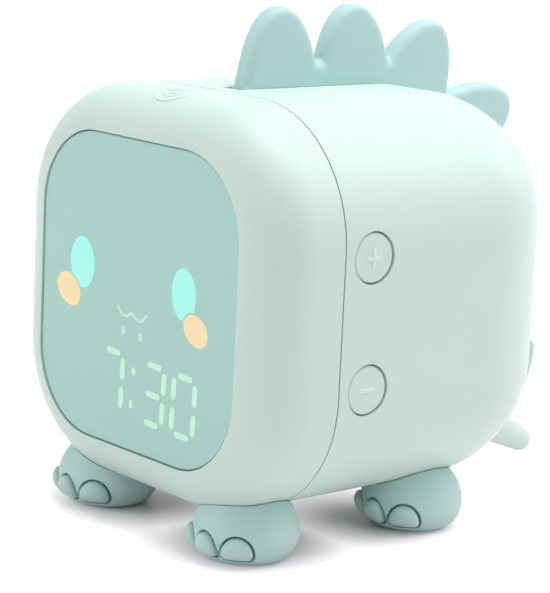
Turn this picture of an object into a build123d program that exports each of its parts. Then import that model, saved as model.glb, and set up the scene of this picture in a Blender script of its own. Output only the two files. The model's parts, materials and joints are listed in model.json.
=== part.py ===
from build123d import *
import os
from math import atan2, cos, degrees, hypot, radians, sin, sqrt

# Kids alarm clock with a night light: a rounded body on four toed feet, with a silicone crest of fins
# along its back, a tail, a flat lit display in front and push buttons on both sides.
# Millimetres. +Z is up from the table, the display faces -Y, and X runs across the clock.
# The origin is on the table, under the middle of the overall box.

# ---------------------------------------------------------------- driving dimensions

# body
body_width = 88.0
body_height = 85.4
body_depth = 90.4
body_lift = 8.6            # underside of the body above the table
corner_radius = 28.0       # corners of the cross section
front_round = 11.3         # edge round at the front
rear_round = 27.4          # edge round at the back
wall = 2.2
front_shell_depth = 18.6   # from the front face to the seam
seam_gap = 0.35

# lap joint between the two shells
tongue_length = 2.4
tongue_thickness = 1.0
tongue_gap = 0.1
shell_tab_width = 8.0
shell_tab_length = 10.5
shell_tab_height = 5.0
shell_tab_x = 10.0
shell_tab_root = 3.0       # tab ahead of the seam
shell_screw_setback = 6.0  # shell screws behind the seam
opening_margin = 1.0       # cuts start this far outside the wall

# display
window_width = 66.1
window_height = 65.7
window_corner = 17.7
window_gap = 0.25          # between the window and the rim around it
window_recess = 0.35       # window face behind the front face
flange_width = 2.2
flange_thickness = 1.2
film_thickness = 0.3
film_margin = 1.0          # film beyond the tray
tray_width = 58.0
tray_height = 56.0
tray_corner = 12.0
tray_depth = 8.0
board_thickness = 1.6
display_board_size = 65.0
display_board_corner = 14.0
display_ear_height = 26.0
display_ear_reach = 2.5    # ear beyond its screws
display_screw_x = 38.6
display_screw_z = 8.5

# lit figures
eye_width = 8.7
eye_height = 11.2
eye_spread = 17.6
eye_rise = 4.4
cheek_width = 9.0
cheek_height = 7.0
cheek_spread = 22.0
cheek_drop = 2.5
mouth_width = 10.2
mouth_height = 2.4
mouth_drop = 3.2
digit_height = 13.0
digit_width = 6.2
digit_drop = 19.0
digit_pitch = 9.7
hours_x = -5.8             # last digit of the hours
minutes_x = 8.0            # first digit of the minutes
colon_x = 0.4
bar_width = 1.3
bar_web = 0.4              # tray wall between two wells of a digit
led_size = 0.9
led_height = 0.6
face_led_size = 2.2
night_led_size = 1.6
chip_size = 9.0
chip_height = 1.5
leaf_leg_width = 4.0
leaf_leg_overlap = 2.0     # leaf's leg on the display board

# side buttons
button_radius = 5.1
button_gap = 0.35
button_setback = 26.6      # button centres behind the front face
button_pitch = 27.2
button_travel = 0.6
button_flange = 1.2        # flange beyond the cap's radius
button_flange_thickness = 0.9
button_rest_gap = 0.1
stem_radius = 1.9
switch_depth = 11.6        # top of the switch body behind the side face
switch_size = 6.0
switch_height = 3.5
plunger_radius = 1.7
plunger_reach = 1.5        # plunger above the switch body at rest
plunger_fit = 0.05
plunger_sink = 1.4         # plunger inside the switch at rest
plunger_spare = 0.3        # switch bore under the pressed plunger
button_edge = 0.45
collar_wall = 1.2
collar_depth = 3.4
button_board_height = 40.0
button_board_front = 6.0   # board edge ahead of the button centres
button_board_back = 14.0
button_screw_step = 10.5
board_corner = 1.5

# crest
crest_half = 2.8
crest_edge = 2.1
crest_root = 1.1           # depth of the groove in the rear shell
groove_gap = 0.15
groove_lead = 2.2          # open groove ahead of the first fin
crest_web = 5.3            # web between the first three fins, above the body's top
fin_power = 1.4
fin_fullness = 2.03
fin_steps = 7
fin_skirt = 3.2            # fin below its foot, inside the body
peg_radius = 1.6
peg_head = 0.8
peg_head_step = 0.7        # peg's head beyond its shank
# fins on the top, each pegged into the shell: foot behind the front face, lean, height, half width
top_fins = (
    (36.4, -1.7, 17.2, 10.5),
    (57.5, -2.5, 17.6, 10.8),
)
# fins down the rear: foot ahead of the rear face, foot below the body's top, lean, height, half width
rear_fins = (
    (16.5, 4.9, 26.5, 19.5, 11.6),
    (5.6, 15.0, 67.0, 24.2, 11.3),
    (0.0, 32.5, 90.0, 17.0, 11.6),
)

# feet
foot_radius = 11.2
foot_base_radius = 8.6
foot_belly = 5.3           # height of the widest place
foot_dome = 10.5           # height of the dome above the widest place
foot_clearance = 0.5       # foot bottom above the table
front_foot_inset = 20.0    # centres of the front feet inside the side faces
front_foot_setback = 13.0  # and behind the front face
rear_foot_inset = 18.4     # centres of the rear feet inside the side faces
rear_foot_lead = 31.6      # and ahead of the rear face
foot_gap = 0.1
foot_peg_radius = 3.2
foot_boss_radius = 5.4
foot_boss_height = 3.0
foot_socket_roof = 1.5
pad_radius = 6.6
pad_thickness = 1.2
toe_width = 6.7
toe_height = 5.05
toe_lift = 1.8             # flat lower edge of a toe above the table
toe_corner = 1.3
toe_raise = 1.4            # toe beyond the foot's surface
toe_edge = 0.6
toe_groove = 0.2
toe_groove_depth = 0.35
toe_root = 6.0             # inner end of a toe from the foot's axis
toe_spread = 41.0          # angle from one toe to the next

# tail
tail_reach = 32.3          # tail tip behind the body
tail_tip_radius = 2.9
tail_taper = 6.8           # half angle of the tail's cone, degrees
tail_tip_clearance = 1.56
tail_drop = 30.0           # tail root below the middle of the body
tail_peg_radius = 4.0
tail_peg_length = 4.6
tail_boss_wall = 2.4
tail_socket_roof = 1.6
tail_sink = 9.0            # tail's cone inside the body, before it is cut to the body's surface
tail_fin_out = 21.6        # foot of the fin along the tail
tail_fin_tilt = 13.4       # fin's backward tilt from square to the tail
tail_fin_height = 23.8
tail_fin_half_width = 8.5
tail_fin_skirt = 1.9       # fin below the tail's axis, inside the tail
tail_fin_half_thickness = 2.4
tail_fin_edge = 1.8
tail_fin_peg_radius = 1.4
tail_fin_peg_length = 9.75

# electronics and fasteners
screw_radius = 1.1
screw_head_radius = 2.2
screw_head_height = 1.3
screw_fit = 0.05
screw_length = 5.0
boss_radius = 2.7
main_board_width = 52.0
main_board_depth = 44.0
main_board_lead = 15.9     # rear edge ahead of the rear face
main_board_lift = 15.0     # board above the body's underside
main_screw_inset = 4.0
speaker_radius = 14.0
speaker_height = 7.4
speaker_setback = 50.0
grille_hole = 0.9
grille_pitch = 3.6
speaker_lip = 2.2          # basket's rim inwards
speaker_rim = 1.0
speaker_throat = 8.6
speaker_ring_height = 3.0
speaker_ring_gap = 0.15
magnet_radius = 7.0
magnet_height = 2.6
cone_gap = 0.3
cone_thickness = 0.6
processor_size = 10.0
small_chip_width = 5.4
small_chip_depth = 4.5
small_chip_places = ((-13.5, 7.2), (14.4, -4.5))
cell_radius = 9.2
cell_length = 65.0
cell_clearance = 4.0       # behind the button boards
cell_gap = 0.15
cradle_wall = 1.8
cradle_end_depth = 14.7    # end walls forward of the back plate
cradle_lip_depth = 11.0
lip_thickness = 1.0
upper_lip_x = 16.0
upper_lip_width = 9.0
cradle_post_x = 20.0
cradle_post_z = 14.0
usb_width = 9.0
usb_height = 3.2
usb_length = 7.4
usb_wall = 0.35
usb_x = 9.5
usb_drop = 9.0
usb_board_depth = 13.0
usb_board_width = 14.0
usb_board_thickness = 1.2
usb_board_gap = 0.3        # board from the inside of the rear wall
usb_recess = 0.3           # socket's mouth behind the rear face
usb_clearance = 0.2
usb_back = 1.0
usb_tongue_width = 6.9
usb_tongue_thickness = 0.7
usb_tongue_recess = 0.8
usb_shelf_thickness = 4.4
usb_screw_spread = 4.2
usb_screw_inset = 2.8
touch_width = 14.0
touch_depth = 5.6
leaf_thickness = 0.4

# ---------------------------------------------------------------- places worked out from them

overall_depth = body_depth + tail_reach
front_y = -overall_depth / 2
rear_y = front_y + body_depth
seam_y = front_y + front_shell_depth
body_mid = body_lift + body_height / 2
top_z = body_lift + body_height
side_x = body_width / 2
floor_z = body_lift + wall                       # inner floor of the body
screw_hole = screw_radius + screw_fit
window_back = front_y + wall + flange_thickness
tray_front = window_back + film_thickness
tray_back = tray_front + tray_depth
display_back = tray_back + board_thickness
button_y = front_y + button_setback

os.makedirs("parts", exist_ok=True)


def keep(name, part):
    """Label a finished piece and write it."""
    part.label = name
    export_step(part, f"parts/{name}.step")


def facing(y):
    """Cross plane at y: local x is X, local y is height from mid-body, and its normal points forward."""
    return Plane(origin=(0, y, body_mid), x_dir=(1, 0, 0), z_dir=(0, -1, 0))


def upright(x, y, z):
    """Horizontal plane through a point, normal up."""
    return Plane(origin=(x, y, z), x_dir=(1, 0, 0), z_dir=(0, 0, 1))


def backing(x, y, z):
    """Cross plane through (x, z from mid-body) at y, its normal pointing backwards."""
    return Plane(origin=(x, y, body_mid + z), x_dir=(1, 0, 0), z_dir=(0, 1, 0))


def side_plane(side, y, z, depth=0.0):
    """Plane on a side face (side is +1 or -1), sunk by depth, normal outwards, local y up."""
    return Plane(origin=(side * (side_x - depth), y, z), x_dir=(0, side, 0), z_dir=(side, 0, 0))


def body_outline(inset, mode=Mode.ADD):
    """Cross section of the body, drawn in a facing() sketch."""
    RectangleRounded(body_width - 2 * inset, body_height - 2 * inset, corner_radius - inset, mode=mode)


def body_block(inset):
    """The whole body as a solid, every face moved inwards by inset."""
    with BuildPart() as block:
        with BuildSketch(facing(rear_y - inset)):
            body_outline(inset)
        extrude(amount=body_depth - 2 * inset)
        fillet(block.edges().group_by(Axis.Y)[0], front_round - inset)
        fillet(block.edges().group_by(Axis.Y)[-1], rear_round - inset)
    return block.part


def disc(plane, radius, height, mode=Mode.ADD):
    """Round boss, pin or hole from a plane along its normal."""
    with BuildSketch(plane) as end:
        Circle(radius)
    extrude(end.sketch, amount=height, mode=mode)


def screw_group(planes, length):
    """Pan-head screws: each plane lies under the head, its normal points to the head."""
    with BuildPart() as group:
        for plane in planes:
            disc(plane, screw_head_radius, screw_head_height)
            disc(plane, screw_radius, -length)
    return group.part


outer = body_block(0)
cavity = body_block(wall)
skin = body_block(wall / 2)        # bosses stop at this face inside the wall


def within_wall(planes, radius, height):
    """Bosses that grow out of the wall: they start in its middle and never show outside."""
    with BuildPart() as bosses:
        for plane in planes:
            disc(plane, radius, height)
        add(skin, mode=Mode.INTERSECT)
    return bosses.part


def mirrored(x, y):
    """The four places (+-x, +-y) of a rectangle of screws or bosses."""
    return [(x, y), (-x, y), (x, -y), (-x, -y)]


# ---------------------------------------------------------------- feet places and fins of the crest

front_foot_x = side_x - front_foot_inset
rear_foot_x = side_x - rear_foot_inset
foot_places = {
    "front_left": (-front_foot_x, front_y + front_foot_setback),
    "front_right": (front_foot_x, front_y + front_foot_setback),
    "rear_left": (-rear_foot_x, rear_y - rear_foot_lead),
    "rear_right": (rear_foot_x, rear_y - rear_foot_lead),
}
foot_boss_top = floor_z + foot_boss_height
foot_peg_top = foot_boss_top - foot_socket_roof


def foot_bosses(side_names):
    """Blind sockets inside the floor, one over each foot."""
    places = [foot_places[name] for name in side_names]
    planes = [upright(x, y, body_lift) for x, y in places]
    return within_wall(planes, foot_boss_radius, foot_boss_top - body_lift)


def cut_foot_sockets(side_names):
    """Socket for each foot's peg and the hole of its screw."""
    for name in side_names:
        x, y = foot_places[name]
        disc(upright(x, y, 0), foot_peg_radius + foot_gap, foot_peg_top + foot_gap, Mode.SUBTRACT)
        disc(upright(x, y, 0), screw_hole, foot_boss_top + opening_margin, Mode.SUBTRACT)


# ---------------------------------------------------------------- front shell

shell_screw_y = seam_y + shell_screw_setback
display_screw_places = mirrored(display_screw_x, display_screw_z)
display_boss_planes = [backing(x, front_y, z) for x, z in display_screw_places]
display_bosses = within_wall(display_boss_planes, boss_radius, tray_back - front_y)
front_foot_bosses = foot_bosses(("front_left", "front_right"))

with BuildPart() as front_shell:
    add(outer)
    split(bisect_by=facing(seam_y), keep=Keep.TOP)
    add(cavity, mode=Mode.SUBTRACT)
    add(display_bosses)
    add(front_foot_bosses)
    # opening for the window, and the seat of the window's flange behind it
    with BuildSketch(facing(front_y + wall + opening_margin)):
        RectangleRounded(
            window_width + 2 * window_gap, window_height + 2 * window_gap, window_corner + window_gap
        )
    extrude(amount=wall + 2 * opening_margin, mode=Mode.SUBTRACT)
    with BuildSketch(facing(tray_front)):
        RectangleRounded(
            window_width + 2 * (flange_width + window_gap),
            window_height + 2 * (flange_width + window_gap),
            window_corner + flange_width + window_gap,
        )
    extrude(amount=flange_thickness + film_thickness, mode=Mode.SUBTRACT)
    # tongue of the lap joint
    with BuildSketch(facing(seam_y + tongue_length)):
        body_outline(wall - tongue_thickness)
        body_outline(wall, mode=Mode.SUBTRACT)
    extrude(amount=tongue_length + tongue_thickness)
    # two tabs that the shell screws pull down onto the rear shell's floor
    for tab_x in (-shell_tab_x, shell_tab_x):
        with BuildSketch(upright(tab_x, seam_y - shell_tab_root, floor_z - tongue_thickness / 2)):
            Rectangle(shell_tab_width, shell_tab_root + tongue_length, align=(Align.CENTER, Align.MIN))
        extrude(amount=tongue_thickness)
        with BuildSketch(upright(tab_x, seam_y - shell_tab_root, floor_z + tongue_gap)):
            Rectangle(shell_tab_width, shell_tab_root + shell_tab_length, align=(Align.CENTER, Align.MIN))
        extrude(amount=shell_tab_height)
        tab_floor = upright(tab_x, shell_screw_y, floor_z)
        disc(tab_floor, screw_hole, shell_tab_height + opening_margin, Mode.SUBTRACT)
    cut_foot_sockets(("front_left", "front_right"))
    for x, z in display_screw_places:
        disc(backing(x, tray_back, z), screw_hole, -screw_length, Mode.SUBTRACT)
keep("front_shell", front_shell.part)

# ---------------------------------------------------------------- display stack

with BuildPart() as display_window:
    with BuildSketch(facing(window_back)):
        RectangleRounded(
            window_width + 2 * flange_width, window_height + 2 * flange_width, window_corner + flange_width
        )
    extrude(amount=flange_thickness)
    with BuildSketch(facing(front_y + wall)):
        RectangleRounded(window_width, window_height, window_corner)
    extrude(amount=wall - window_recess)
    fillet(display_window.edges().group_by(Axis.Y)[0], window_recess)
keep("display_window", display_window.part)

film_width = tray_width + 2 * film_margin
film_height = tray_height + 2 * film_margin
with BuildPart() as diffuser_film:
    with BuildSketch(facing(tray_front)):
        RectangleRounded(film_width, film_height, tray_corner + film_margin)
    extrude(amount=film_thickness)
keep("diffuser_film", diffuser_film.part)

bar_rise = (digit_height - bar_width) / 2
bar_arm = (digit_width - bar_width) / 2
flat_bar = digit_width - 2 * (bar_width + bar_web)
tall_bar = bar_rise - bar_web
digit_places = (hours_x - digit_pitch, hours_x, minutes_x, minutes_x + digit_pitch)
flat_bar_places = [(x, -digit_drop + z) for x in digit_places for z in (-bar_rise, 0, bar_rise)]
tall_bar_places = [
    (x + dx, -digit_drop + z)
    for x in digit_places
    for dx in (-bar_arm, bar_arm)
    for z in (-bar_rise / 2, bar_rise / 2)
]
colon_places = [(colon_x, -digit_drop - bar_rise * 0.6), (colon_x, -digit_drop + bar_rise * 0.6)]
eye_places = [(-eye_spread, eye_rise), (eye_spread, eye_rise)]
cheek_places = [(-cheek_spread, -cheek_drop), (cheek_spread, -cheek_drop)]
mouth_place = (0, -mouth_drop)

with BuildPart() as light_tray:
    with BuildSketch(facing(tray_back)):
        RectangleRounded(tray_width, tray_height, tray_corner)
        with Locations(*eye_places):
            Ellipse(eye_width / 2, eye_height / 2, mode=Mode.SUBTRACT)
        with Locations(*cheek_places):
            Ellipse(cheek_width / 2, cheek_height / 2, mode=Mode.SUBTRACT)
        with Locations(mouth_place):
            SlotOverall(mouth_width, mouth_height, mode=Mode.SUBTRACT)
        with Locations(*flat_bar_places):
            Rectangle(flat_bar, bar_width, mode=Mode.SUBTRACT)
        with Locations(*tall_bar_places):
            Rectangle(bar_width, tall_bar, mode=Mode.SUBTRACT)
        with Locations(*colon_places):
            Rectangle(bar_width, bar_width, mode=Mode.SUBTRACT)
    extrude(amount=tray_depth)
keep("light_tray", light_tray.part)

with BuildPart() as display_board:
    with BuildSketch(facing(display_back)):
        RectangleRounded(display_board_size, display_board_size, display_board_corner)
        RectangleRounded(2 * (display_screw_x + display_ear_reach), display_ear_height, display_ear_reach)
        with Locations(*display_screw_places):
            Circle(screw_hole, mode=Mode.SUBTRACT)
    extrude(amount=board_thickness)
keep("display_board", display_board.part)

with BuildPart() as segment_leds:
    with BuildSketch(facing(tray_back)):
        with Locations(*flat_bar_places, *tall_bar_places, *colon_places):
            Rectangle(led_size, led_size)
    extrude(amount=led_height)
keep("segment_leds", segment_leds.part)

with BuildPart() as face_leds:
    with BuildSketch(facing(tray_back)):
        with Locations(*eye_places, *cheek_places):
            Rectangle(face_led_size, face_led_size)
        with Locations(mouth_place):
            Rectangle(face_led_size, led_size)
    extrude(amount=led_height)
keep("face_leds", face_leds.part)

night_led_x = (tray_width + display_board_size) / 4
night_led_z = (tray_height + display_board_size) / 4
night_led_places = mirrored(night_led_x, night_led_z / 3) + mirrored(night_led_x / 3, night_led_z)
with BuildPart() as night_light_leds:
    with BuildSketch(facing(tray_back)):
        with Locations(*night_led_places):
            Rectangle(night_led_size, night_led_size)
    extrude(amount=led_height)
keep("night_light_leds", night_light_leds.part)

with BuildPart() as display_driver:
    with BuildSketch(facing(display_back + chip_height)):
        with Locations((-chip_size, 0), (chip_size, 0)):
            Rectangle(chip_size, chip_size)
    extrude(amount=chip_height)
keep("display_driver", display_driver.part)

display_screw_planes = [backing(x, display_back, z) for x, z in display_screw_places]
keep("display_screws", screw_group(display_screw_planes, screw_length))

# touch leaf: a bent strip under the top of the front shell, its leg on the back of the display board
leaf_top = top_z - wall
leaf_leg_bottom = body_mid + display_board_size / 2 - leaf_leg_overlap
with BuildPart() as touch_leaf:
    with BuildSketch(upright(0, display_back, leaf_top - leaf_thickness)):
        Rectangle(touch_width, touch_depth, align=(Align.CENTER, Align.MIN))
    extrude(amount=leaf_thickness)
    with BuildSketch(upright(0, display_back, leaf_leg_bottom)):
        Rectangle(leaf_leg_width, leaf_thickness, align=(Align.CENTER, Align.MIN))
    extrude(amount=leaf_top - leaf_leg_bottom)
keep("touch_leaf", touch_leaf.part)

# ---------------------------------------------------------------- crest

def pillow_fin(foot, lean, height, half_width, half_thickness, edge, skirt):
    """A fin as a plate with rounded rims: foot is (y, z) of its middle, lean its backward tilt in degrees."""
    tilt = radians(lean)

    def place(across, rise):
        y = foot[0] + across * cos(tilt) + rise * sin(tilt)
        return (y, foot[1] - across * sin(tilt) + rise * cos(tilt))

    def half(rise):
        return half_width * (1 - (rise / height) ** fin_power) ** (1 / fin_fullness)

    rises = [height * sin(radians(90 * step / fin_steps)) for step in range(fin_steps)]
    ahead = [place(-half(rise), rise) for rise in rises]
    behind = [place(half(rise), rise) for rise in reversed(rises)]
    with BuildPart() as fin:
        with BuildSketch(Plane(origin=(-half_thickness, 0, 0), x_dir=(0, 1, 0), z_dir=(1, 0, 0))):
            with BuildLine():
                Spline(*ahead, place(0, height), *behind)
                Polyline(behind[-1], place(half_width, -skirt), place(-half_width, -skirt), ahead[0])
            make_face()
        extrude(amount=2 * half_thickness)
        fillet(fin.edges().group_by(Axis.X)[0] + fin.edges().group_by(Axis.X)[-1], edge)
    return fin.part


top_feet = [(front_y + setback, top_z) for setback, *shape in top_fins]
rear_feet = [(rear_y - lead, top_z - drop) for lead, drop, *shape in rear_fins]
fin_shapes = [fin[1:] for fin in top_fins] + [fin[2:] for fin in rear_fins]
crest_start = top_feet[0][0] - top_fins[0][-1]
crest_end = rear_feet[-1][1] - rear_fins[-1][-1]
crest_bed = body_block(crest_root - groove_gap)
groove_bed = body_block(crest_root)
peg_head_radius = peg_radius + peg_head_step
peg_length = wall - crest_root + groove_gap + peg_head


def crest_strip(half, start, end):
    """Upright slab over the body's top and rear: it starts at y = start and ends at z = end."""
    with BuildPart() as strip:
        with BuildSketch(Plane(origin=(0, start, end), x_dir=(1, 0, 0), z_dir=(0, 0, 1))):
            Rectangle(2 * half, body_depth, align=(Align.CENTER, Align.MIN))
        extrude(amount=body_height)
    return strip.part


with BuildPart() as groove:
    add(crest_strip(crest_half + groove_gap, crest_start - groove_lead, crest_end - groove_gap))
    add(groove_bed, mode=Mode.SUBTRACT)

# base strip that lies in the groove, flush with the shell, and carries all the fins
with BuildPart() as crest_base:
    add(crest_strip(crest_half, crest_start, crest_end))
    add(outer, mode=Mode.INTERSECT)

with BuildPart() as web:
    with BuildSketch(Plane(origin=(-crest_half, 0, 0), x_dir=(0, 1, 0), z_dir=(1, 0, 0))):
        with BuildLine():
            Polyline(
                (top_feet[0][0], top_z - fin_skirt),
                (rear_feet[0][0], top_z - fin_skirt),
                (rear_feet[0][0], top_z + crest_web),
                (top_feet[0][0], top_z + crest_web),
                close=True,
            )
        make_face()
    extrude(amount=2 * crest_half)
    fillet(web.edges().filter_by(Axis.Y).group_by(Axis.Z)[-1], crest_edge)

fins = [
    pillow_fin(foot, *shape, crest_half, crest_edge, fin_skirt)
    for foot, shape in zip(top_feet + rear_feet, fin_shapes)
]
with BuildPart() as crest:
    add(crest_base.part)
    add(web.part)
    for fin in fins:
        add(fin)
    add(crest_bed, mode=Mode.SUBTRACT)
    for peg_y, z in top_feet:
        disc(upright(0, peg_y, top_z - crest_root + groove_gap), peg_radius, -peg_length)
        disc(upright(0, peg_y, top_z - wall - groove_gap), peg_head_radius, -peg_head)
keep("crest", crest.part)

# ---------------------------------------------------------------- tail and its fin

tail_level = tail_drop - (body_height / 2 - rear_round)      # how far down the rear round the root lies
root_y = rear_y - rear_round + sqrt(rear_round**2 - tail_level**2)
root_z = body_mid - tail_drop
tip_y = overall_depth / 2 - tail_tip_radius
tip_z = tail_tip_radius + tail_tip_clearance
tail_length = hypot(tip_y - root_y, tip_z - root_z)
tail_run = (tip_y - root_y) / tail_length
tail_fall = (tip_z - root_z) / tail_length
tail_direction = Vector(0, tail_run, tail_fall)
tail_axis = Axis((0, root_y, root_z), tail_direction)
tail_boss_length = tail_peg_length + tail_socket_roof


def tail_plane(out):
    """Plane across the tail, out from its root along its axis, normal towards the tip."""
    return Plane(
        origin=(0, root_y + out * tail_run, root_z + out * tail_fall), x_dir=(1, 0, 0), z_dir=tail_direction
    )


def tail_cone(extra):
    """Tapered tail with a round tip, its surface moved outwards by extra."""
    tip_radius = tail_tip_radius + extra
    touch_x = tail_length + tip_radius * sin(radians(tail_taper))
    touch_r = tip_radius * cos(radians(tail_taper))
    root_r = touch_r + (touch_x + tail_sink) * sin(radians(tail_taper)) / cos(radians(tail_taper))
    with BuildPart() as cone:
        with BuildSketch(Plane(origin=(0, root_y, root_z), x_dir=tail_direction, z_dir=(1, 0, 0))):
            with BuildLine():
                Line((-tail_sink, 0), (-tail_sink, root_r))
                Line((-tail_sink, root_r), (touch_x, touch_r))
                CenterArc((tail_length, 0), tip_radius, 0, 90 - tail_taper)
                Line((tail_length + tip_radius, 0), (-tail_sink, 0))
            make_face()
        revolve(axis=tail_axis)
    return cone.part


tail_fin_foot = (root_y + tail_fin_out * tail_run, root_z + tail_fin_out * tail_fall)
tail_fin_lean = degrees(atan2(-tail_fall, tail_run)) + tail_fin_tilt
tail_fin_plane = Plane(
    origin=(0, *tail_fin_foot),
    x_dir=(1, 0, 0),
    z_dir=(0, sin(radians(tail_fin_lean)), cos(radians(tail_fin_lean))),
)
body_clear = body_block(-foot_gap)
bare_tail = tail_cone(0)
tail_clear = tail_cone(foot_gap)
bare_tail_fin = pillow_fin(
    tail_fin_foot,
    tail_fin_lean,
    tail_fin_height,
    tail_fin_half_width,
    tail_fin_half_thickness,
    tail_fin_edge,
    tail_fin_skirt,
)

with BuildPart() as tail:
    add(bare_tail)
    add(body_clear, mode=Mode.SUBTRACT)
    disc(tail_plane(tail_tip_radius), tail_peg_radius, -(tail_tip_radius + tail_peg_length))
    disc(tail_plane(-tail_peg_length), screw_hole, screw_length, Mode.SUBTRACT)
    disc(tail_fin_plane, tail_fin_peg_radius + screw_fit, tail_fin_peg_length, Mode.SUBTRACT)
keep("tail", tail.part)

with BuildPart() as tail_fin:
    add(bare_tail_fin)
    add(tail_clear, mode=Mode.SUBTRACT)
    disc(tail_fin_plane, tail_fin_peg_radius, tail_fin_peg_length)
keep("tail_fin", tail_fin.part)

# ---------------------------------------------------------------- feet


def foot_dome_part(x, y, grow):
    """Squat dome on a round sole, its side moved outwards by grow."""
    radius = foot_radius + grow
    base = foot_base_radius + grow
    with BuildPart() as dome:
        with BuildSketch(Plane(origin=(x, y, 0), x_dir=(1, 0, 0), z_dir=(0, -1, 0))):
            with BuildLine():
                Line((0, foot_clearance), (base, foot_clearance))
                TangentArc((radius, foot_belly), (base, foot_clearance), tangent=(0, -1))
                EllipticalCenterArc((0, foot_belly), radius, foot_dome + grow, start_angle=0, arc_size=90)
                Line((0, foot_belly + foot_dome + grow), (0, foot_clearance))
            make_face()
        revolve(axis=Axis((x, y, 0), (0, 0, 1)))
    return dome.part


def toe_prism(plane, grow):
    """Bar with a toe's outline, flat below and arched above, from a plane along its normal."""
    half = toe_width / 2 + grow
    corner = toe_corner + grow
    with BuildPart() as prism:
        with BuildSketch(plane) as outline:
            with BuildLine():
                EllipticalCenterArc(
                    (0, toe_corner), half, toe_height - toe_corner + grow, start_angle=0, arc_size=180
                )
                TangentArc((-half, toe_corner), (corner - half, -grow), tangent=(0, -1))
                Line((corner - half, -grow), (half - corner, -grow))
                TangentArc((half, toe_corner), (half - corner, -grow), tangent=(0, -1))
            make_face()
        extrude(outline.sketch, amount=foot_radius)
    return prism.part


def toe_pad(plane, raised):
    """A toe: the bar cut to the raised surface, with its outer rim rounded."""
    with BuildPart() as pad:
        add(toe_prism(plane, 0))
        add(raised, mode=Mode.INTERSECT)
        curved = pad.edges().filter_by(GeomType.LINE, reverse=True)
        rim = curved.filter_by(lambda edge: plane.to_local_coords(edge.center()).Z > toe_root / 2)
        fillet(rim.filter_by(lambda edge: abs(edge.center().Z - foot_belly) > toe_groove / 2), toe_edge)
    return pad.part


def foot(x, y):
    """A foot with three toes in front, its top following the underside of the body."""
    toe_planes = []
    for step in (-1, 0, 1):
        turn = radians(step * toe_spread)
        out = Vector(sin(turn), -cos(turn), 0)
        root = Vector(x, y, toe_lift) + out * toe_root
        toe_planes.append(Plane(origin=root, x_dir=(cos(turn), sin(turn), 0), z_dir=out))
    raised = foot_dome_part(x, y, toe_raise)
    toes = [toe_pad(plane, raised) for plane in toe_planes]
    with BuildPart() as body:
        add(foot_dome_part(x, y, 0))
        for plane in toe_planes:
            add(toe_prism(plane, toe_groove), mode=Mode.SUBTRACT)
        add(foot_dome_part(x, y, -toe_groove_depth))
        for toe in toes:
            add(toe)
        add(body_clear, mode=Mode.SUBTRACT)
        disc(upright(x, y, foot_belly), foot_peg_radius, foot_peg_top - foot_belly)
        disc(upright(x, y, foot_peg_top), screw_hole, -screw_length, Mode.SUBTRACT)
        disc(upright(x, y, 0), pad_radius + foot_gap, pad_thickness, Mode.SUBTRACT)
    return body.part


for name, (x, y) in foot_places.items():
    keep(f"foot_{name}", foot(x, y))
    with BuildPart() as pad:
        disc(upright(x, y, 0), pad_radius, pad_thickness)
    keep(f"pad_{name}", pad.part)

foot_screw_planes = [upright(x, y, foot_boss_top) for x, y in foot_places.values()]
keep("foot_screws", screw_group(foot_screw_planes, screw_length))

# ---------------------------------------------------------------- buttons and their switches

button_z = (body_mid + button_pitch / 2, body_mid - button_pitch / 2)
buttons = {
    "plus": (1, button_z[0]),
    "minus": (1, button_z[1]),
    "set": (-1, button_z[0]),
    "alarm": (-1, button_z[1]),
}
bore_radius = button_radius + button_gap
button_flange_radius = bore_radius + button_flange
collar_radius = button_flange_radius + button_gap
button_seat = wall + button_rest_gap             # front of the flange behind the side face
button_board_depth = switch_depth + switch_height
plunger_top = switch_depth - plunger_reach
plunger_bore = plunger_sink + button_travel + plunger_spare

for name, (side, z) in buttons.items():
    face = side_plane(side, button_y, z)
    with BuildPart() as button:
        disc(face, button_radius, -button_seat)
        add(outer, mode=Mode.INTERSECT)
        rim = button.edges().filter_by(GeomType.LINE, reverse=True)
        fillet(rim.filter_by(lambda edge: abs(edge.center().X) > side_x - wall / 2), button_edge)
        disc(side_plane(side, button_y, z, button_seat), button_flange_radius, -button_flange_thickness)
        disc(side_plane(side, button_y, z, button_seat), stem_radius, button_seat + plunger_fit - plunger_top)
    keep(f"{name}_button", button.part)
    with BuildPart() as plunger:
        disc(side_plane(side, button_y, z, plunger_top), plunger_radius, -(plunger_reach + plunger_sink))
    keep(f"{name}_plunger", plunger.part)
    with BuildPart() as switch:
        with BuildSketch(side_plane(side, button_y, z, button_board_depth)):
            Rectangle(switch_size, switch_size)
        extrude(amount=switch_height)
        switch_top = side_plane(side, button_y, z, switch_depth)
        disc(switch_top, plunger_radius + plunger_fit, -plunger_bore, Mode.SUBTRACT)
    keep(f"{name}_switch", switch.part)

button_screw_places = (button_y, button_y + button_screw_step)
for name, side in (("right", 1), ("left", -1)):
    board_plane = side_plane(side, button_y, body_mid, button_board_depth + board_thickness)
    board_middle = side * (button_board_back - button_board_front) / 2
    with BuildPart() as board:
        with BuildSketch(board_plane):
            with Locations((board_middle, 0)):
                RectangleRounded(button_board_front + button_board_back, button_board_height, board_corner)
        extrude(amount=board_thickness)
        for y in button_screw_places:
            screw_plane = side_plane(side, y, body_mid, button_board_depth)
            disc(screw_plane, screw_hole, -board_thickness, Mode.SUBTRACT)
    keep(f"{name}_button_board", board.part)

side_screw_planes = [
    Plane(
        origin=(side * (side_x - button_board_depth - board_thickness), y, body_mid),
        x_dir=(0, 1, 0),
        z_dir=(-side, 0, 0),
    )
    for side in (1, -1)
    for y in button_screw_places
]
keep("button_board_screws", screw_group(side_screw_planes, screw_length))

# ---------------------------------------------------------------- main board, speaker, battery, USB socket

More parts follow.
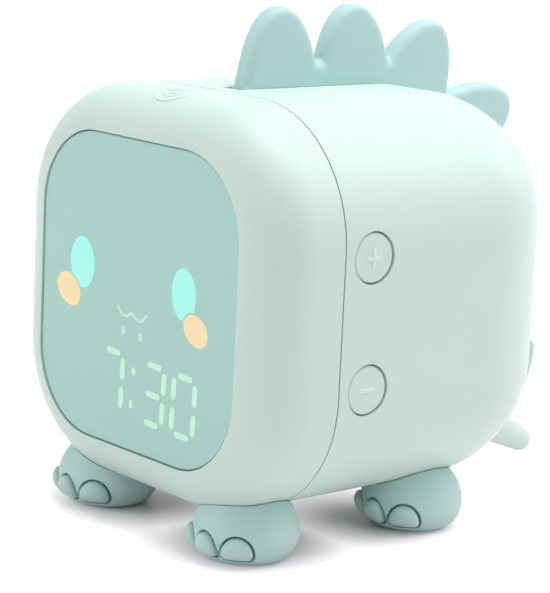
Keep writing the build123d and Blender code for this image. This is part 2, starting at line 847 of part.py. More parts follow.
main_board_z = body_lift + main_board_lift
main_board_y = rear_y - main_board_lead - main_board_depth / 2
main_screw_places = [
    (x, main_board_y + y)
    for x, y in mirrored(main_board_width / 2 - main_screw_inset, main_board_depth / 2 - main_screw_inset)
]
with BuildPart() as main_board:
    with BuildSketch(upright(0, main_board_y, main_board_z)):
        RectangleRounded(main_board_width, main_board_depth, board_corner)
    extrude(amount=board_thickness)
    for x, y in main_screw_places:
        disc(upright(x, y, main_board_z), screw_hole, board_thickness, Mode.SUBTRACT)
keep("main_board", main_board.part)

chip_top = main_board_z + board_thickness
with BuildPart() as main_chips:
    with BuildSketch(upright(0, main_board_y, chip_top)):
        Rectangle(processor_size, processor_size)
        with Locations(*small_chip_places):
            Rectangle(small_chip_width, small_chip_depth)
    extrude(amount=chip_height)
keep("main_chips", main_chips.part)
main_screw_planes = [upright(x, y, chip_top) for x, y in main_screw_places]
keep("main_board_screws", screw_group(main_screw_planes, screw_length))

speaker_y = front_y + speaker_setback
basket_height = speaker_height - magnet_height
basket_inner = speaker_radius - speaker_lip
cone_top = basket_height - speaker_rim - cone_gap
speaker_axis = Axis((0, speaker_y, 0), (0, 0, 1))
speaker_plane = Plane(origin=(0, speaker_y, floor_z), x_dir=(1, 0, 0), z_dir=(0, -1, 0))
with BuildPart() as speaker_basket:
    with BuildSketch(speaker_plane):
        with BuildLine():
            Polyline(
                (basket_inner, 0),
                (speaker_radius, 0),
                (speaker_radius, speaker_rim),
                (speaker_throat, basket_height),
                (0, basket_height),
                (0, basket_height - speaker_rim),
                (speaker_throat - speaker_rim, basket_height - speaker_rim),
                (basket_inner, speaker_rim),
                close=True,
            )
        make_face()
    revolve(axis=speaker_axis)
keep("speaker_basket", speaker_basket.part)

with BuildPart() as speaker_cone:
    with BuildSketch(speaker_plane):
        with BuildLine():
            Polyline(
                (0, cone_top),
                (speaker_throat - speaker_rim - cone_gap, cone_top),
                (basket_inner - cone_gap, speaker_rim),
                (basket_inner - cone_gap, speaker_rim - cone_thickness),
                (basket_inner - cone_gap - speaker_rim, speaker_rim - cone_thickness),
                (speaker_throat - 2 * speaker_rim - cone_gap, cone_top - cone_thickness),
                (0, cone_top - cone_thickness),
                close=True,
            )
        make_face()
    revolve(axis=speaker_axis)
keep("speaker_cone", speaker_cone.part)

with BuildPart() as speaker_magnet:
    disc(upright(0, speaker_y, floor_z + basket_height), magnet_radius, magnet_height)
keep("speaker_magnet", speaker_magnet.part)

cell_y = button_y + button_board_back + cell_clearance + cell_radius
cradle_face = cell_y + cell_radius + cell_gap
cradle_back = cradle_face + cradle_wall
cradle_half = cell_length / 2 + cell_gap + cradle_wall
cradle_half_height = cradle_post_z + boss_radius
lip_inner = cell_radius + cell_gap
cradle_height = 2 * (lip_inner + lip_thickness)
with BuildPart() as battery_cell:
    with BuildSketch(Plane(origin=(-cell_length / 2, cell_y, body_mid), x_dir=(0, 1, 0), z_dir=(1, 0, 0))):
        Circle(cell_radius)
    extrude(amount=cell_length)
keep("battery_cell", battery_cell.part)

cradle_screw_places = mirrored(cradle_post_x, cradle_post_z)
with BuildPart() as battery_cradle:
    with BuildSketch(facing(cradle_back)):
        Rectangle(2 * cradle_half, cradle_height)
        RectangleRounded(2 * (cradle_post_x + boss_radius), 2 * cradle_half_height, boss_radius)
    extrude(amount=cradle_wall)
    # end walls, long lower lip and short upper lips that the cell snaps between
    with BuildSketch(facing(cradle_face)):
        for end in (-1, 1):
            with Locations((end * (cradle_half - cradle_wall / 2), 0)):
                Rectangle(cradle_wall, cradle_height)
    extrude(amount=cradle_end_depth)
    with BuildSketch(facing(cradle_face)):
        with Locations((0, -lip_inner - lip_thickness / 2)):
            Rectangle(2 * cradle_half, lip_thickness)
        for lip_x in (-upper_lip_x, upper_lip_x):
            with Locations((lip_x, lip_inner + lip_thickness / 2)):
                Rectangle(upper_lip_width, lip_thickness)
    extrude(amount=cradle_lip_depth)
    for x, z in cradle_screw_places:
        disc(backing(x, cradle_face, z), screw_hole, cradle_wall, Mode.SUBTRACT)
keep("battery_cradle", battery_cradle.part)
cradle_screw_planes = [-backing(x, cradle_face, z) for x, z in cradle_screw_places]
keep("cradle_screws", screw_group(cradle_screw_planes, screw_length))

usb_z = body_mid - usb_drop
usb_mouth = rear_y - usb_recess
usb_corner = usb_height / 2 - usb_wall / 4
usb_board_top = usb_z - usb_height / 2
usb_board_bottom = usb_board_top - usb_board_thickness
usb_board_back = rear_y - wall - usb_board_gap
usb_board_front = usb_board_back - usb_board_depth
usb_screw_y = usb_board_front + usb_screw_inset
usb_screw_places = [(usb_x - usb_screw_spread, usb_screw_y), (usb_x + usb_screw_spread, usb_screw_y)]


def usb_plane(y):
    """Cross plane through the USB socket, normal pointing forward."""
    return Plane(origin=(usb_x, y, usb_z), x_dir=(1, 0, 0), z_dir=(0, -1, 0))


with BuildPart() as usb_socket:
    with BuildSketch(usb_plane(usb_mouth)):
        RectangleRounded(usb_width, usb_height, usb_corner)
    extrude(amount=usb_length)
    with BuildSketch(usb_plane(usb_mouth)):
        RectangleRounded(usb_width - 2 * usb_wall, usb_height - 2 * usb_wall, usb_corner - usb_wall)
    extrude(amount=usb_length - usb_back, mode=Mode.SUBTRACT)
    with BuildSketch(usb_plane(usb_mouth - usb_tongue_recess)):
        Rectangle(usb_tongue_width, usb_tongue_thickness)
    extrude(amount=usb_length - usb_tongue_recess - usb_back / 2)
keep("usb_socket", usb_socket.part)

with BuildPart() as usb_board:
    with BuildSketch(upright(usb_x, usb_board_front, usb_board_bottom)):
        Rectangle(usb_board_width, usb_board_depth, align=(Align.CENTER, Align.MIN))
    extrude(amount=usb_board_thickness)
    for x, y in usb_screw_places:
        disc(upright(x, y, usb_board_bottom), screw_hole, usb_board_thickness, Mode.SUBTRACT)
keep("usb_board", usb_board.part)
usb_screw_planes = [upright(x, y, usb_board_top) for x, y in usb_screw_places]
keep("usb_screws", screw_group(usb_screw_planes, screw_length))

tail_screw_plane = Plane(origin=tail_plane(-tail_boss_length).origin, x_dir=(1, 0, 0), z_dir=-tail_direction)
keep("tail_screw", screw_group([tail_screw_plane], screw_length))
shell_screw_head_z = body_lift + screw_head_height
shell_screw_planes = [
    Plane(origin=(x, shell_screw_y, shell_screw_head_z), x_dir=(1, 0, 0), z_dir=(0, 0, -1))
    for x in (-shell_tab_x, shell_tab_x)
]
keep("shell_screws", screw_group(shell_screw_planes, screw_length))

# ---------------------------------------------------------------- rear shell

rear_foot_bosses = foot_bosses(("rear_left", "rear_right"))
main_bosses = within_wall(
    [upright(x, y, body_lift) for x, y in main_screw_places], boss_radius, main_board_z - body_lift
)
side_boss_planes = [side_plane(side, y, body_mid) for side in (1, -1) for y in button_screw_places]
side_bosses = within_wall(side_boss_planes, boss_radius, -button_board_depth)
cradle_bosses = within_wall(
    [-backing(x, rear_y, z) for x, z in cradle_screw_places],
    boss_radius,
    rear_y - cradle_back,
)
tail_bosses = within_wall([tail_plane(0)], tail_peg_radius + foot_gap + tail_boss_wall, -tail_boss_length)
collar_planes = [side_plane(side, button_y, z) for side, z in buttons.values()]
collars = within_wall(collar_planes, collar_radius + collar_wall, -(wall + collar_depth))
with BuildPart() as usb_shelf:
    with BuildSketch(upright(usb_x, usb_board_front, usb_board_bottom - usb_shelf_thickness)):
        Rectangle(usb_board_width, usb_board_depth + wall, align=(Align.CENTER, Align.MIN))
    extrude(amount=usb_shelf_thickness)
    add(skin, mode=Mode.INTERSECT)
speaker_seat = speaker_radius + speaker_ring_gap

rear_bosses = (
    rear_foot_bosses,
    main_bosses,
    side_bosses,
    cradle_bosses,
    tail_bosses,
    collars,
    usb_shelf.part,
)
tail_socket_depth = tail_peg_length + foot_gap

with BuildPart() as rear_shell:
    add(outer)
    split(bisect_by=facing(seam_y + seam_gap), keep=Keep.BOTTOM)
    add(cavity, mode=Mode.SUBTRACT)
    for boss in rear_bosses:
        add(boss)
    # rebate that the front shell's tongue slides into; it also trims the collars to the seam
    with BuildSketch(facing(seam_y + tongue_length + seam_gap)):
        body_outline(wall - tongue_thickness - tongue_gap)
    extrude(amount=front_shell_depth, mode=Mode.SUBTRACT)
    # ring that holds the speaker, and the sound holes under it
    ring_root = upright(0, speaker_y, floor_z - wall / 2)
    disc(ring_root, speaker_seat + collar_wall, wall / 2 + speaker_ring_height)
    disc(upright(0, speaker_y, floor_z), speaker_seat, speaker_height, Mode.SUBTRACT)
    with BuildSketch(upright(0, speaker_y, body_lift)):
        Circle(grille_hole)
        for ring in (1, 2):
            with PolarLocations(ring * grille_pitch, 6 * ring):
                Circle(grille_hole)
    extrude(amount=wall, mode=Mode.SUBTRACT)
    # button bores and the flat seats of their flanges
    for side, z in buttons.values():
        disc(side_plane(side, button_y, z, wall), collar_radius, -2 * collar_depth, Mode.SUBTRACT)
        disc(side_plane(side, button_y, z, -opening_margin), bore_radius, -2 * wall, Mode.SUBTRACT)
    # groove and peg holes of the crest
    add(groove.part, mode=Mode.SUBTRACT)
    for peg_y, z in top_feet:
        disc(upright(0, peg_y, top_z), peg_radius + screw_fit, -2 * wall, Mode.SUBTRACT)
    # USB opening
    with BuildSketch(usb_plane(rear_y + opening_margin)):
        RectangleRounded(usb_width + 2 * usb_clearance, usb_height + 2 * usb_clearance, usb_corner)
    extrude(amount=opening_margin + wall + usb_board_gap, mode=Mode.SUBTRACT)
    # tail and feet sockets
    disc(tail_plane(tail_sink), tail_peg_radius + foot_gap, -(tail_sink + tail_socket_depth), Mode.SUBTRACT)
    disc(tail_plane(0), screw_hole, -2 * tail_boss_length, Mode.SUBTRACT)
    cut_foot_sockets(("rear_left", "rear_right"))
    # screw holes
    for tab_x in (-shell_tab_x, shell_tab_x):
        below = upright(tab_x, shell_screw_y, 0)
        disc(below, screw_hole, floor_z + opening_margin, Mode.SUBTRACT)
        disc(below, screw_head_radius + foot_gap, shell_screw_head_z, Mode.SUBTRACT)
    for x, y in main_screw_places:
        disc(upright(x, y, main_board_z), screw_hole, -screw_length, Mode.SUBTRACT)
    for side in (1, -1):
        for y in button_screw_places:
            disc(side_plane(side, y, body_mid, button_board_depth), screw_hole, screw_length, Mode.SUBTRACT)
    for x, z in cradle_screw_places:
        disc(backing(x, cradle_back, z), screw_hole, screw_length, Mode.SUBTRACT)
    for x, y in usb_screw_places:
        disc(upright(x, y, usb_board_bottom), screw_hole, -screw_length, Mode.SUBTRACT)
keep("rear_shell", rear_shell.part)
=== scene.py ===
import json
from math import cos, hypot, pi, radians, sin, sqrt

import bmesh
import bpy
from mathutils import Matrix, Vector


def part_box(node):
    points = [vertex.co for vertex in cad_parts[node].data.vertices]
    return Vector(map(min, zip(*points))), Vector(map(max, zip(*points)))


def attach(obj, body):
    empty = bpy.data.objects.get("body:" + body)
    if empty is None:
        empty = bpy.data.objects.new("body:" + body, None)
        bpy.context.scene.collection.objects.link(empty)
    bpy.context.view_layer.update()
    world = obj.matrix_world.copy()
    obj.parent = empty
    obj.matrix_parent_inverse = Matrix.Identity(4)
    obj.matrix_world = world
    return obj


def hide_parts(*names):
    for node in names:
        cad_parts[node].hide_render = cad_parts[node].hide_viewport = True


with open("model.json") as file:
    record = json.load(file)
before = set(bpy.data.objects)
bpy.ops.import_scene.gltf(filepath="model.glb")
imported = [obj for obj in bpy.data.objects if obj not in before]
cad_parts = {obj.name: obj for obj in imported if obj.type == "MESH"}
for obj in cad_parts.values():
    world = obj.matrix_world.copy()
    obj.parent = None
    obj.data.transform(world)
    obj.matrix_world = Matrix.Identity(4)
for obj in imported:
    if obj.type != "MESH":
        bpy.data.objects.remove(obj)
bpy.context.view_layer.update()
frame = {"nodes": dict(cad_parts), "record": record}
mm = 0.001
print("frame loaded:", len(frame["nodes"]), "nodes")

# places read from the frame
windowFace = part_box("display_window")[0].y
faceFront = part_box("front_shell")[0].y
shellLow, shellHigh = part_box("rear_shell")
bodyMid = (shellLow.z + shellHigh.z) / 2
footCorners = ("front_left", "front_right", "rear_left", "rear_right")


# nodes and materials

def newMaterial(name, **values):
    # values are sockets of the shader, written with _ for a space
    material = bpy.data.materials.new(name)
    material.use_nodes = True
    shader = material.node_tree.nodes["Principled BSDF"]
    for socket, value in values.items():
        shader.inputs[socket.replace("_", " ")].default_value = value
    return material, material.node_tree, shader


def addNode(tree, kind, **settings):
    node = tree.nodes.new(kind)
    for key, value in settings.items():
        setattr(node, key, value)
    return node


def link(tree, start, end):
    tree.links.new(start, end)


def groupSocket(group, name, direction, kind, value=None):
    socket = group.interface.new_socket(name=name, in_out=direction, socket_type=kind)
    if value is not None:
        socket.default_value = value


mixFirst, mixSecond, mixResult = 6, 7, 2  # colour sockets of a Mix node, whose names repeat


def buildGrainGroup():
    # fine moulded grain: gives a height for the bump and a slightly varied roughness
    group = bpy.data.node_groups.new("mouldedGrain", "ShaderNodeTree")
    groupSocket(group, "Vector", "INPUT", "NodeSocketVector")
    groupSocket(group, "Grain Size", "INPUT", "NodeSocketFloat", 3000.0)
    groupSocket(group, "Roughness Low", "INPUT", "NodeSocketFloat", 0.4)
    groupSocket(group, "Roughness High", "INPUT", "NodeSocketFloat", 0.5)
    groupSocket(group, "Height", "OUTPUT", "NodeSocketFloat")
    groupSocket(group, "Roughness", "OUTPUT", "NodeSocketFloat")
    start = addNode(group, "NodeGroupInput")
    end = addNode(group, "NodeGroupOutput")
    fine = addNode(group, "ShaderNodeTexNoise")
    fine.inputs["Detail"].default_value = 2.0
    broad = addNode(group, "ShaderNodeTexNoise")
    broad.inputs["Scale"].default_value = 60.0
    spread = addNode(group, "ShaderNodeMapRange")
    link(group, start.outputs["Vector"], fine.inputs["Vector"])
    link(group, start.outputs["Grain Size"], fine.inputs["Scale"])
    link(group, start.outputs["Vector"], broad.inputs["Vector"])
    link(group, broad.outputs["Fac"], spread.inputs["Value"])
    link(group, start.outputs["Roughness Low"], spread.inputs["To Min"])
    link(group, start.outputs["Roughness High"], spread.inputs["To Max"])
    link(group, fine.outputs["Fac"], end.inputs["Height"])
    link(group, spread.outputs["Result"], end.inputs["Roughness"])
    return group


def buildToneGroup():
    # two near tones of one colour, drifting slowly over the surface, as in a tinted moulding
    group = bpy.data.node_groups.new("driftingTone", "ShaderNodeTree")
    groupSocket(group, "Vector", "INPUT", "NodeSocketVector")
    groupSocket(group, "Tone", "INPUT", "NodeSocketColor")
    groupSocket(group, "Second Tone", "INPUT", "NodeSocketColor")
    groupSocket(group, "Drift Size", "INPUT", "NodeSocketFloat", 30.0)
    groupSocket(group, "Color", "OUTPUT", "NodeSocketColor")
    start = addNode(group, "NodeGroupInput")
    end = addNode(group, "NodeGroupOutput")
    drift = addNode(group, "ShaderNodeTexNoise")
    drift.inputs["Detail"].default_value = 3.0
    blend = addNode(group, "ShaderNodeMix", data_type="RGBA")
    link(group, start.outputs["Vector"], drift.inputs["Vector"])
    link(group, start.outputs["Drift Size"], drift.inputs["Scale"])
    link(group, drift.outputs["Fac"], blend.inputs["Factor"])
    link(group, start.outputs["Tone"], blend.inputs[mixFirst])
    link(group, start.outputs["Second Tone"], blend.inputs[mixSecond])
    link(group, blend.outputs[mixResult], end.inputs["Color"])
    return group


grainGroup = buildGrainGroup()
toneGroup = buildToneGroup()


def mouldedMaterial(name, tone, secondTone, roughness, grainSize=3000.0, bump=0.02, drift=30.0, **values):
    material, tree, shader = newMaterial(name, **values)
    place = addNode(tree, "ShaderNodeTexCoord")
    tint = addNode(tree, "ShaderNodeGroup", node_tree=toneGroup)
    tint.inputs["Tone"].default_value = (*tone, 1)
    tint.inputs["Second Tone"].default_value = (*secondTone, 1)
    tint.inputs["Drift Size"].default_value = drift
    grain = addNode(tree, "ShaderNodeGroup", node_tree=grainGroup)
    grain.inputs["Grain Size"].default_value = grainSize
    grain.inputs["Roughness Low"].default_value = roughness[0]
    grain.inputs["Roughness High"].default_value = roughness[1]
    relief = addNode(tree, "ShaderNodeBump")
    relief.inputs["Strength"].default_value = bump
    relief.inputs["Distance"].default_value = 0.0001  # a tenth of a millimetre
    link(tree, place.outputs["Object"], tint.inputs["Vector"])
    link(tree, place.outputs["Object"], grain.inputs["Vector"])
    link(tree, tint.outputs["Color"], shader.inputs["Base Color"])
    link(tree, grain.outputs["Roughness"], shader.inputs["Roughness"])
    link(tree, grain.outputs["Height"], relief.inputs["Height"])
    link(tree, relief.outputs["Normal"], shader.inputs["Normal"])
    return material


def srgb(red, green, blue):
    # display colour 0-255 to the linear values that shaders take, by the sRGB curve
    def linear(value):
        share = value / 255
        return share / 12.92 if share <= 0.04045 else ((share + 0.055) / 1.055) ** 2.4
    return (linear(red), linear(green), linear(blue))


# tone, second tone, lowest and highest roughness, then what differs from a plain moulding
slotFinishes = {
    "body_plastic": (srgb(204, 226, 216), srgb(201, 224, 214), (0.42, 0.5), {}),
    "window_plastic": (srgb(165, 211, 201), srgb(162, 209, 199), (0.4, 0.48), {"Coat_Weight": 0.15}),
    "crest_silicone": (srgb(181, 214, 213), srgb(178, 212, 211), (0.5, 0.6), {"grainSize": 1500.0}),
    "foot_silicone": (srgb(190, 222, 217), srgb(187, 220, 214), (0.5, 0.6), {"grainSize": 1500.0}),
    "clear_pad": (srgb(225, 236, 234), srgb(218, 232, 230), (0.15, 0.25), {"Transmission_Weight": 0.6}),
    "film": (srgb(244, 244, 238), srgb(238, 239, 234), (0.55, 0.65), {}),
    "tray_plastic": (srgb(240, 240, 236), srgb(234, 235, 231), (0.45, 0.55), {}),
    "circuit_board": (srgb(38, 104, 66), srgb(28, 84, 54), (0.3, 0.42), {"drift": 500.0}),
    "led": (srgb(240, 226, 150), srgb(232, 214, 130), (0.15, 0.25), {"Coat_Weight": 0.4}),
    "chip": (srgb(34, 35, 37), srgb(26, 27, 29), (0.5, 0.65), {}),
    "screw_steel": (srgb(188, 188, 190), srgb(170, 171, 174), (0.28, 0.42), {"Metallic": 1.0}),
    "leaf_metal": (srgb(206, 196, 170), srgb(192, 182, 156), (0.25, 0.38), {"Metallic": 1.0}),
    "switch_plastic": (srgb(44, 45, 48), srgb(36, 37, 40), (0.45, 0.55), {}),
    "plunger_plastic": (srgb(204, 62, 52), srgb(190, 54, 46), (0.4, 0.5), {}),
    "battery_wrap": (srgb(66, 128, 152), srgb(58, 116, 140), (0.2, 0.32), {"Coat_Weight": 0.3}),
    "cradle_plastic": (srgb(52, 53, 56), srgb(44, 45, 48), (0.5, 0.6), {}),
    "speaker_steel": (srgb(150, 151, 154), srgb(134, 135, 139), (0.3, 0.45), {"Metallic": 1.0}),
    "speaker_paper": (srgb(42, 42, 42), srgb(32, 32, 33), (0.8, 0.92), {"bump": 0.3}),
    "usb_metal": (srgb(196, 197, 200), srgb(180, 181, 185), (0.22, 0.34), {"Metallic": 1.0}),
}
finishes = {
    slot: mouldedMaterial(slot, tone, secondTone, roughness, **differs)
    for slot, (tone, secondTone, roughness, differs) in slotFinishes.items()
}


def paintCreaseShade(material, tone, share):
    # painted shade in the grooves: the piece's own attribute, 1 in the bottom of a groove, draws the colour
    # towards a deeper tone
    tree = material.node_tree
    shader = tree.nodes["Principled BSDF"]
    plain = shader.inputs["Base Color"].links[0].from_socket
    creaseShade = addNode(tree, "ShaderNodeAttribute", attribute_name="creaseShade")
    depth = addNode(tree, "ShaderNodeMath", operation="MULTIPLY")
    depth.inputs[1].default_value = share
    blend = addNode(tree, "ShaderNodeMix", data_type="RGBA")
    blend.inputs[mixSecond].default_value = (*tone, 1)
    link(tree, creaseShade.outputs["Fac"], depth.inputs[0])
    link(tree, depth.outputs[0], blend.inputs["Factor"])
    link(tree, plain, blend.inputs[mixFirst])
    link(tree, blend.outputs[mixResult], shader.inputs["Base Color"])


# painted shade at the bottoms of the feet's toe grooves
paintCreaseShade(finishes["foot_silicone"], tone=srgb(92, 140, 132), share=0.85)
for entry in frame["record"]["subparts"]:
    for slot in frame["nodes"][entry["node"]].material_slots:
        slot.material = finishes[entry["material_slot"]]
print("materials made:", len(finishes))


# modelling

def deselectAll():
    if bpy.context.object and bpy.context.object.mode == "EDIT":
        bpy.ops.object.mode_set(mode="OBJECT")
    bpy.ops.object.select_all(action="DESELECT")


def activate(piece):
    deselectAll()
    bpy.context.view_layer.objects.active = piece
    piece.select_set(True)


def selectWhere(piece, chosen):
    # in edit mode, the vertices whose place is chosen
    mesh = bmesh.from_edit_mesh(piece.data)
    for vertex in mesh.verts:
        vertex.select = chosen(vertex.co)
    mesh.select_flush_mode()
    bmesh.update_edit_mesh(piece.data)


def applyModifiers(piece):
    activate(piece)
    for modifier in list(piece.modifiers):
        bpy.ops.object.modifier_apply(modifier=modifier.name)


def settle(piece):
    # place goes into the mesh, the object stays at the origin
    activate(piece)
    bpy.ops.object.transform_apply(location=True, rotation=True, scale=True)


def copyOf(node):
    # a merged, editable copy of a CAD node's mesh
    deselectAll()
    piece = frame["nodes"][node].copy()
    piece.data = frame["nodes"][node].data.copy()
    bpy.context.scene.collection.objects.link(piece)
    piece.parent = None
    piece.matrix_world = Matrix.Identity(4)
    for key in list(piece.keys()):
        del piece[key]
    activate(piece)
    bpy.ops.object.mode_set(mode="EDIT")
    bpy.ops.mesh.select_all(action="SELECT")
    bpy.ops.mesh.remove_doubles(threshold=0.000002)  # two microns
    bpy.ops.mesh.customdata_custom_splitnormals_clear()
    bpy.ops.object.mode_set(mode="OBJECT")
    return piece


def softenEdges(piece, width, segments=3, sharpFrom=40):
    bevel = piece.modifiers.new("softEdges", "BEVEL")
    bevel.width = width * mm
    bevel.segments = segments
    bevel.limit_method = "ANGLE"
    bevel.angle_limit = radians(sharpFrom)
    applyModifiers(piece)


def cutWith(piece, cutter, operation="DIFFERENCE"):
    cut = piece.modifiers.new("cut", "BOOLEAN")
    cut.operation = operation
    cut.solver = "EXACT"
    cut.object = cutter
    applyModifiers(piece)
    bpy.data.objects.remove(cutter)


def joinPieces(pieces):
    activate(pieces[0])
    for piece in pieces:
        piece.select_set(True)
    bpy.ops.object.join()
    return bpy.context.object


def finishPiece(piece, name, body, material):
    piece.name = name
    piece.data.name = name
    piece.data.materials.clear()
    piece.data.materials.append(material)
    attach(piece, body)


# lit figures on the display: x across and z up from the window's middle, in mm
figureSetup = {
    "turn": -1.7,
    "raise": 0.06,
    "sink": 0.1,
    "sides": 48,
    "eyes": ((-18.8, 3.8), (16.2, 4.0)),
    "eyeSizes": ((8.6, 11.1), (7.9, 10.9)),
    "eyeLean": 5.0,
    "cheeks": ((-23.3, -2.9), (20.6, -2.6)),
    "cheekSizes": ((8.9, 6.6), (8.2, 6.2)),
    "cheekLean": 22.0,
    "cheekGap": 0.4,
    "strokes": ((-3.3, -7.7), (2.6, -7.8)),
    "strokeSize": (1.2, 1.9),
    "strokeStraight": 0.7,
}


def litMaterial(name, tone, glow, share):
    # a diffused lamp: part of its colour is its own light, slightly uneven like a lit film
    material = mouldedMaterial(name, tone, tone, roughness=(0.4, 0.5), drift=200.0)
    shader = material.node_tree.nodes["Principled BSDF"]
    shader.inputs["Emission Color"].default_value = (*glow, 1)
    shader.inputs["Emission Strength"].default_value = share
    return material


eyeLight = litMaterial("eyeLight", srgb(89, 137, 129), glow=srgb(158, 244, 230), share=0.72)
cheekLight = litMaterial("cheekLight", srgb(149, 134, 104), glow=srgb(251, 230, 178), share=0.6)
digitLight = litMaterial("digitLight", srgb(124, 149, 134), glow=srgb(181, 230, 203), share=0.7)
mouthLight = litMaterial("mouthLight", srgb(124, 149, 137), glow=srgb(189, 234, 215), share=0.6)


def onWindow(x, z):
    # a point of the display, turned with the figures
    turn = radians(figureSetup["turn"])
    spot = (x * cos(turn) - z * sin(turn), x * sin(turn) + z * cos(turn))
    return Vector((spot[0] * mm, windowFace, bodyMid + spot[1] * mm))


def ovalPlate(place, size, lean=0.0, straight=0.0, grow=0.0):
    # a flat oval plate sunk into the window; straight lengthens it into a bar with round ends
    setup = figureSetup
    deselectAll()
    bpy.ops.mesh.primitive_circle_add(
        vertices=setup["sides"], radius=1, fill_type="NGON", rotation=(pi / 2, 0, 0)
    )
    plate = bpy.context.object
    settle(plate)
    bpy.ops.object.mode_set(mode="EDIT")
    half = ((size[0] / 2 + grow) * mm, (size[1] / 2 - straight / 2 + grow) * mm)
    bpy.ops.transform.resize(value=(half[0], 1, half[1]))
    if straight:
        selectWhere(plate, lambda spot: spot.z > 0)
        bpy.ops.mesh.select_mode(type="VERT")
        bpy.ops.transform.translate(value=(0, 0, straight * mm))
        bpy.ops.mesh.select_all(action="SELECT")
        bpy.ops.transform.translate(value=(0, 0, -straight * mm / 2))
    thickness = (setup["raise"] + setup["sink"]) * mm
    bpy.ops.transform.translate(value=(0, setup["sink"] * mm, 0))
    bpy.ops.mesh.select_mode(type="FACE")
    bpy.ops.mesh.select_all(action="SELECT")
    bpy.ops.mesh.extrude_region_move(TRANSFORM_OT_translate={"value": (0, -thickness, 0)})
    bpy.ops.mesh.select_all(action="SELECT")
    bpy.ops.mesh.normals_make_consistent(inside=False)
    bpy.ops.object.mode_set(mode="OBJECT")
    plate.rotation_euler = (0, radians(lean - setup["turn"]), 0)
    plate.location = onWindow(*place)
    settle(plate)
    return plate


def buildFace():
    setup = figureSetup
    eyes = zip(setup["eyes"], setup["eyeSizes"])
    cheeks = zip(setup["cheeks"], setup["cheekSizes"])
    for side, (eyePlace, eyeSize), (cheekPlace, cheekSize) in zip(("left", "right"), eyes, cheeks):
        eye = ovalPlate(eyePlace, eyeSize, -setup["eyeLean"])
        cheek = ovalPlate(cheekPlace, cheekSize, setup["cheekLean"])
        ring = ovalPlate(cheekPlace, cheekSize, setup["cheekLean"], grow=setup["cheekGap"])
        cutWith(eye, ring)
        finishPiece(eye, side + "_eye_light", "clock", eyeLight)
        finishPiece(cheek, side + "_cheek_light", "clock", cheekLight)
    straight = setup["strokeStraight"]
    strokes = [ovalPlate(place, setup["strokeSize"], straight=straight) for place in setup["strokes"]]
    marks = joinPieces(strokes)
    finishPiece(marks, "chin_lights", "clock", mouthLight)


# mouth: a rounded wavy line, pressed flat, in mm
mouthSetup = {
    "line": ((-5.7, -2.7), (-4.3, -4.1), (-2.6, -4.5), (-0.8, -3.6), (0.9, -4.4), (2.7, -4.5), (4.4, -2.8)),
    "width": 0.6,
    "steps": 8,
    "roundSteps": 4,
    "flatness": 0.4,
}


def buildMouth():
    setup = mouthSetup
    deselectAll()
    bpy.ops.curve.primitive_bezier_curve_add()
    mouth = bpy.context.object
    points = mouth.data.splines[0].bezier_points
    points.add(len(setup["line"]) - len(points))
    for point, place in zip(points, setup["line"]):
        point.co = onWindow(*place)
        point.handle_left_type = point.handle_right_type = "AUTO"
    mouth.data.bevel_depth = setup["width"] / 2 * mm
    mouth.data.bevel_resolution = setup["roundSteps"]
    mouth.data.resolution_u = setup["steps"]
    mouth.data.use_fill_caps = True
    bpy.ops.object.convert(target="MESH")
    settle(mouth)
    bpy.ops.object.mode_set(mode="EDIT")
    bpy.ops.mesh.select_all(action="SELECT")
    bpy.ops.transform.resize(value=(1, setup["flatness"], 1), center_override=(0, windowFace, 0))
    bpy.ops.object.mode_set(mode="OBJECT")
    bpy.ops.object.shade_smooth()
    finishPiece(mouth, "mouth_light", "clock", mouthLight)


# time: bars of seven-part digits, each digit placed by its middle, in mm
digitSetup = {
    "top": -12.9,
    "height": 12.45,
    "arm": 3.45,
    "slant": 0.02,
    "flatBar": (4.6, 1.3),
    "tallBar": (1.6, 4.6),
    "colon": ((0.9, -15.6), (0.5, -22.85)),
    "colonSize": (1.4, 1.7),
    "digits": {-6.3: "7", 7.9: "3", 18.15: "0"},
}
litBars = {
    "7": ("top", "upperRight", "lowerRight"),
    "3": ("top", "upperRight", "middle", "lowerRight", "bottom"),
    "0": ("top", "upperRight", "lowerRight", "bottom", "upperLeft", "lowerLeft"),
}


def buildDigits():
    setup = digitSetup
    half = setup["height"] / 2
    arm = setup["arm"]
    bars = {
        "top": (0, 0, "flat"),
        "middle": (0, -half, "flat"),
        "bottom": (0, -2 * half, "flat"),
        "upperRight": (arm, -half / 2, "tall"),
        "lowerRight": (arm, -1.5 * half, "tall"),
        "upperLeft": (-arm, -half / 2, "tall"),
        "lowerLeft": (-arm, -1.5 * half, "tall"),
    }
    lean = setup["slant"] * 180 / pi
    pieces = []
    for middle, digit in setup["digits"].items():
        for bar in litBars[digit]:
            x, z, kind = bars[bar]
            place = (middle + x + setup["slant"] * z, setup["top"] + z)
            if kind == "flat":
                # an upright bar laid on its side
                length, thickness = setup["flatBar"]
                size, turn = (thickness, length), 90.0
            else:
                size, turn = setup["tallBar"], lean
            pieces.append(ovalPlate(place, size, turn, straight=size[1] - size[0]))
    for place in setup["colon"]:
        pieces.append(ovalPlate(place, setup["colonSize"], 2 * lean))
    digits = joinPieces(pieces)
    finishPiece(digits, "time_digits", "clock", digitLight)


buildFace()
buildMouth()
buildDigits()
print("display figures built")

# soft mouldings: remeshed copies of the solids, so that every edge is rolled over
softSetup = {
    "crest": {"voxel": 0.32, "passes": 3, "slot": "crest_silicone"},
    "tail_fin": {"voxel": 0.28, "passes": 3, "slot": "crest_silicone"},
    "foot": {"voxel": 0.15, "passes": 2, "slot": "foot_silicone"},
}
padSetup = {"edge": 0.3}


def smoothPiece(piece, passes):
    smooth = piece.modifiers.new("smooth", "SMOOTH")
    smooth.factor = 0.5
    smooth.iterations = passes
    applyModifiers(piece)
    bpy.ops.object.shade_smooth()


